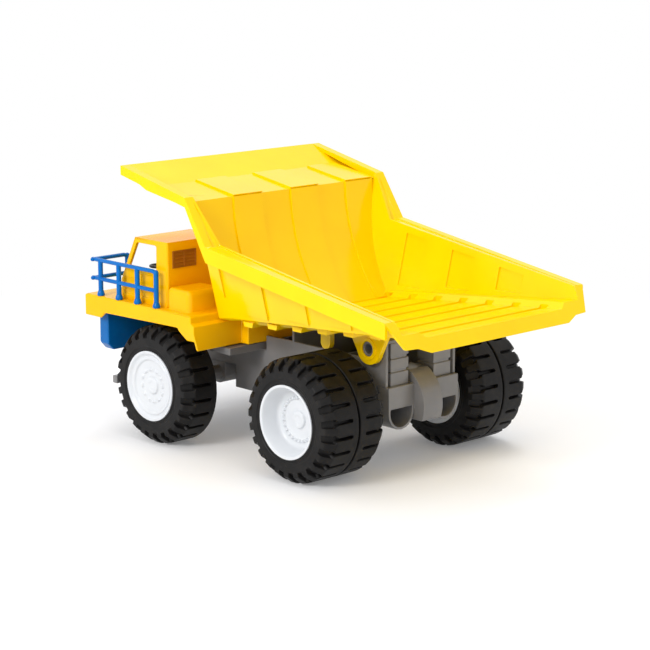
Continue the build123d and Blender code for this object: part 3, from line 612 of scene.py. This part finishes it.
# Tube: ring of radius r round each path point, in the plane of the normal and binormal, with round ends
def tubeGrid(path, radius, normal, sides=18):
    path = np.asarray(path, float)
    normal = np.asarray(normal, float)
    steps = tubeEnd["steps"]
    along = np.gradient(path, axis=0)
    along /= np.linalg.norm(along, axis=1)[:, None]
    turn = np.linspace(tubeEnd["from"], np.pi / 2, steps + 1)
    headPath = path[0] - along[0] * radius * np.cos(turn)[:, None]
    tailPath = path[-1] + along[-1] * radius * np.cos(turn[::-1])[:, None]
    stations = np.vstack([headPath[:-1], path, tailPath[1:]])
    tangents = np.vstack([np.repeat(along[:1], steps, 0), along, np.repeat(along[-1:], steps, 0)])
    radii = radius * np.concatenate([np.sin(turn[:-1]), np.ones(len(path)), np.sin(turn[::-1])[1:]])
    across = np.cross(tangents, normal)
    angle = np.linspace(0, 2 * np.pi, sides, endpoint=False)[None, :, None]
    ring = np.cos(angle) * normal + np.sin(angle) * across[:, None, :]
    points = stations[:, None, :] + radii[:, None, None] * ring
    return points, gridFaces(len(stations), sides, False, True)


# One mesh of several grids: a grid's faces count on from the points before it
def joined(grids):
    points, faces, count = [], [], 0
    for gridPoints, gridQuads in grids:
        flat = gridPoints.reshape(-1, 3)
        points.append(flat)
        faces.append(gridQuads + count)
        count += len(flat)
    return np.vstack(points), np.vstack(faces)


sideways, forwards, upwards = (1.0, 0.0, 0.0), (0.0, 1.0, 0.0), (0.0, 0.0, 1.0)
railingShape = {  # mm
    "inset": 2.4,  # from the deck's edge
    "setback": 8.8,  # front run behind the deck's front edge
    "top": 25.3,
    "middle": 12.0,
    "rail": 1.45,
    "post": 1.75,
    "postDrop": 0.6,  # post's end below the top rail's middle
    "foot": 2.7,
    "footHeight": 4.2,
    "footRim": 0.3,  # share of the height
    "footSoft": 0.8,
    "footSides": 24,
    "bend": 4.0,
    "overhang": 1.6,
    "sideSetback": 7.0,
    "rear": 77.8,  # last post behind the deck's front edge
    "bays": 3,
    "gates": {"left": (60.0, 1), "right": (33.0, 4)},  # last front post's x, front posts
    "sharp": 50,
}


# Foot of a post: profile of (r, z) turned about the post's line
def footGrid(x, y, base):
    s = railingShape
    foot, top, rim = s["foot"], base + s["footHeight"], base + s["footRim"] * s["footHeight"]
    profile = softLine([(0.0, base), (foot, base), (foot, rim), (s["post"], top), (0.0, top)], s["footSoft"])
    angle = np.linspace(0, 2 * np.pi, s["footSides"], endpoint=False)[:, None]
    r, z = profile[:, 0][None, :], profile[:, 1][None, :]
    points = np.stack(np.broadcast_arrays(x + r * np.cos(angle), y + r * np.sin(angle), z), axis=-1)
    return points, gridFaces(s["footSides"], len(profile), True, False)


# Railing: top rails bend down into the last posts, middle rails run straight, other posts at even steps
def makeRailing(name, side):
    s = railingShape
    deckLow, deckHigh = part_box("deck_shell")
    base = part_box("cab_shell")[0].z / mm
    front = deckLow.y / mm
    x = side * (deckHigh.x / mm - s["inset"])
    runY = front + s["setback"]
    rearY = front + s["rear"]
    gateX, frontPosts = s["gates"][name]
    gateX *= side
    top, middle = base + s["top"], base + s["middle"]
    lipX, lipY = x + side * s["overhang"], runY - s["overhang"]
    sidePath = softLine([(x, lipY, top), (x, rearY, top), (x, rearY, base)], s["bend"], 7)
    frontPath = softLine([(lipX, runY, top), (gateX, runY, top), (gateX, runY, base)], s["bend"], 7)
    grids = [
        tubeGrid(sidePath, s["rail"], sideways),
        tubeGrid(frontPath, s["rail"], forwards),
        tubeGrid([(x, lipY, middle), (x, rearY, middle)], s["rail"], sideways),
        tubeGrid([(lipX, runY, middle), (gateX, runY, middle)], s["rail"], forwards),
    ]
    firstY = runY + s["sideSetback"]
    posts = [(x, firstY + i * (rearY - firstY) / s["bays"]) for i in range(s["bays"] + 1)]
    posts += [(gateX + i * (x - gateX) / frontPosts, runY) for i in range(frontPosts)]
    for postX, postY in posts:
        post = [(postX, postY, base), (postX, postY, top - s["postDrop"])]
        grids.append(tubeGrid(post, s["post"], sideways))
        grids.append(footGrid(postX, postY, base))
    node = f"{name}_railing"
    mesh = meshFrom(f"{node}_tubes", *joined(grids), s["sharp"])
    dress(newObject(f"{node}_tubes", mesh, materials["blue_plastic"]), node)


steeringShape = {  # mm
    "radius": 6.3,
    "grip": 1.0,
    "column": 1.32,
    "spokes": 3,
    "spoke": 0.7,
    "spokeReach": 0.85,  # share of the radius
    "turns": 48,
    "sides": 14,
    "sharp": 50,
}


# Steering wheel: ring = circle of the grip's radius turned about the column; spokes and column are tubes
def makeSteeringWheel():
    s = steeringShape
    low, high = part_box("steering_wheel")
    x, y = ((low + high) / 2 / mm).to_tuple()[:2]
    z = high.z / mm - s["grip"]
    angle = np.linspace(0, 2 * np.pi, s["turns"], endpoint=False)[:, None]
    turn = np.linspace(0, 2 * np.pi, s["sides"], endpoint=False)[None, :]
    r = s["radius"] - s["grip"] + s["grip"] * np.cos(turn)
    height = z + s["grip"] * np.sin(turn)
    ring = np.stack(np.broadcast_arrays(x + r * np.cos(angle), y + r * np.sin(angle), height), axis=-1)
    grids = [(ring, gridFaces(s["turns"], s["sides"], True, True))]
    reach = s["radius"] * s["spokeReach"]
    for i in range(s["spokes"]):
        a = math.radians(90 + 360 * i / s["spokes"])
        end = (x + reach * math.cos(a), y + reach * math.sin(a), z)
        grids.append(tubeGrid([(x, y, z), end], s["spoke"], upwards, 10))
    grids.append(tubeGrid([(x, y, low.z / mm), (x, y, z)], s["column"], sideways, 16))
    mesh = meshFrom("steering_wheel_ring", *joined(grids), s["sharp"])
    dress(newObject("steering_wheel_ring", mesh, materials["black_plastic"]), "steering_wheel")


makeRailing("left", 1)
makeRailing("right", -1)
makeSteeringWheel()
for axle in ("front", "rear"):
    pin = frame["nodes"][f"{axle}_axle_pin"]
    pin.data.materials.clear()
    pin.data.materials.append(materials["axle_steel"])
print("railings, steering wheel, axle pins")


viewPlace = {
    "azimuth": 136.394,
    "elevation": 11.847,
    "distance": 1.36,
    "aim": (0.0601, 0.05695, 0.1006),
    "lens": 115.94,
    "sensor": 36.0,
    "near": 0.01,
}


# Camera = aim + distance * (sin az cos el, -cos az cos el, sin el)
def makeCamera():
    v = viewPlace
    az, el = math.radians(v["azimuth"]), math.radians(v["elevation"])
    back = Vector((math.sin(az) * math.cos(el), -math.cos(az) * math.cos(el), math.sin(el)))
    data = bpy.data.cameras.new("camera")
    data.lens = v["lens"]
    data.sensor_width = v["sensor"]
    data.clip_start = v["near"]
    camera = bpy.data.objects.new("camera", data)
    bpy.context.scene.collection.objects.link(camera)
    camera.location = Vector(v["aim"]) + v["distance"] * back
    camera.rotation_euler = (-back).to_track_quat("-Z", "Y").to_euler()
    bpy.context.scene.camera = camera


lampSet = {
    "aim": (0.0, 0.0, 0.09),
    "lamps": [
        {"name": "key", "place": (1.55, 0.10, 0.95), "size": 0.6, "watts": 15.0},
        {"name": "top", "place": (0.10, 0.60, 1.70), "size": 0.9, "watts": 3.5},
        {"name": "back", "place": (-0.95, -0.55, 1.80), "size": 0.7, "watts": 8.0},
    ],
}


# Square lamps that face the aim
def makeLamps():
    for lamp in lampSet["lamps"]:
        data = bpy.data.lights.new(lamp["name"], "AREA")
        data.size = lamp["size"]
        data.energy = lamp["watts"]
        item = bpy.data.objects.new(lamp["name"], data)
        bpy.context.scene.collection.objects.link(item)
        item.location = lamp["place"]
        item.rotation_euler = (Vector(lampSet["aim"]) - item.location).to_track_quat("-Z", "Y").to_euler()


worldLook = {"ambient": 0.84, "seen": 1.0}


# World: plain white, at full strength where the camera, gloss or glass sees it
def makeWorld():
    world = bpy.data.worlds.new("studio")
    bpy.context.scene.world = world
    shader = Shader(world)
    strength = worldLook["ambient"] + (worldLook["seen"] - worldLook["ambient"]) * shader.seen()
    sky = shader.add("ShaderNodeBackground", inputs={"Color": rgba(white), "Strength": strength})
    shader.show(sky, "ShaderNodeOutputWorld")


floorLook = {
    "half": 9.0,
    "colour": (0.84, 0.84, 0.845),
    "rough": 0.7,
    "grainRough": 0.1,
    "grainSize": 3.0,
    "shine": 0.2,
    "lift": 0.14,  # own light, only to the eye
    "plainFrom": 0.30,
    "plainTo": 0.62,
}


# Floor: pale paper near the toy, which holds the shadow, running into plain white further out
def makeFloor():
    f = floorLook
    half = f["half"] / mm
    corners = [(-half, -half, 0), (half, -half, 0), (half, half, 0), (-half, half, 0)]
    mesh = meshFrom("floor", corners, [(0, 1, 2, 3)], 50)
    shader = Shader(bpy.data.materials.new("floor_paper"))
    seen = shader.seen()
    away = (shader.axis("X") ** 2.0 + shader.axis("Y") ** 2.0).root()
    paper = shader.principled(
        {
            "Base Color": rgba(f["colour"]),
            "Roughness": f["rough"] + f["grainRough"] * shader.noise(f["grainSize"], detail=3.0),
            "Specular IOR Level": f["shine"],
            "Emission Color": shader.mix(seen, black, white),
            "Emission Strength": f["lift"],
        }
    )
    plain = shader.add("ShaderNodeEmission", inputs={"Color": rgba(white), "Strength": 1.0})
    blend = away.ramp(f["plainFrom"], f["plainTo"]) * seen
    material = shader.show(shader.add("ShaderNodeMixShader", inputs={0: blend, 1: paper, 2: plain}))
    newObject("floor", mesh, material)


makeCamera()
makeLamps()
makeWorld()
makeFloor()
bpy.context.scene.view_settings.view_transform = "Standard"
print("camera, lamps, world, floor")
